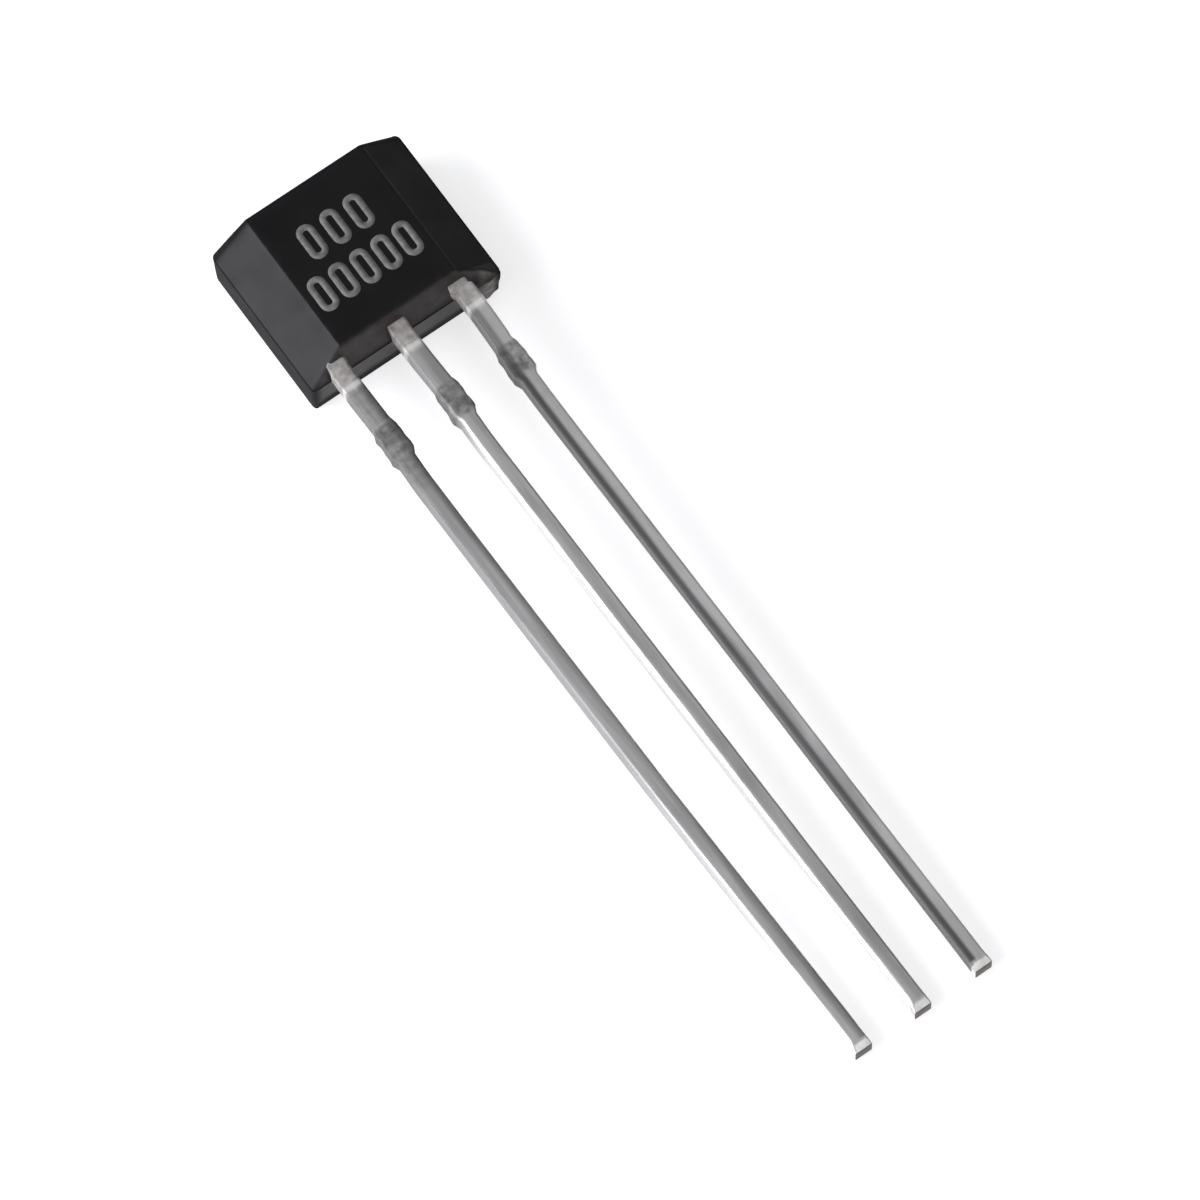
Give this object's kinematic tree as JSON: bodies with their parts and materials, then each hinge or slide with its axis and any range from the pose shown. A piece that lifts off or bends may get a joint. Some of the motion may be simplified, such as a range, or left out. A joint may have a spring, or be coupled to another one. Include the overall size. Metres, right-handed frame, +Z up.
{
  "type": "hall effect sensor",
  "caption": "Flat black moulded linear Hall effect sensor with a chamfered sensing face and straight tinned through-hole leads.",
  "frame": {"origin": "middle of the bottom of the bounding box, on the surface the sensor lies on", "axes": "+X across the row of leads, from the supply lead to the output lead; +Y along the leads, from their tips to the body; +Z up, out of the sensing face but for the small tilt at which the sensor rests on its back and its lead tips"},
  "size_m": [0.004, 0.0184, 0.0017],
  "materials": {
    "moulding_compound": "matte, fine moulded grain",
    "tinned_lead": "satin tin plating over copper alloy",
    "attach_adhesive": "silver-filled, matte",
    "silicon": "polished silicon",
    "gold_wire": "bright gold"
  },
  "bodies": {
    "root": {"moulded_body": "moulding_compound", "lead_supply": "tinned_lead", "lead_ground": "tinned_lead", "lead_output": "tinned_lead", "die_attach": "attach_adhesive", "hall_die": "silicon", "wire_supply": "gold_wire", "wire_ground": "gold_wire", "wire_output": "gold_wire"}
  },
  "joints": []
}
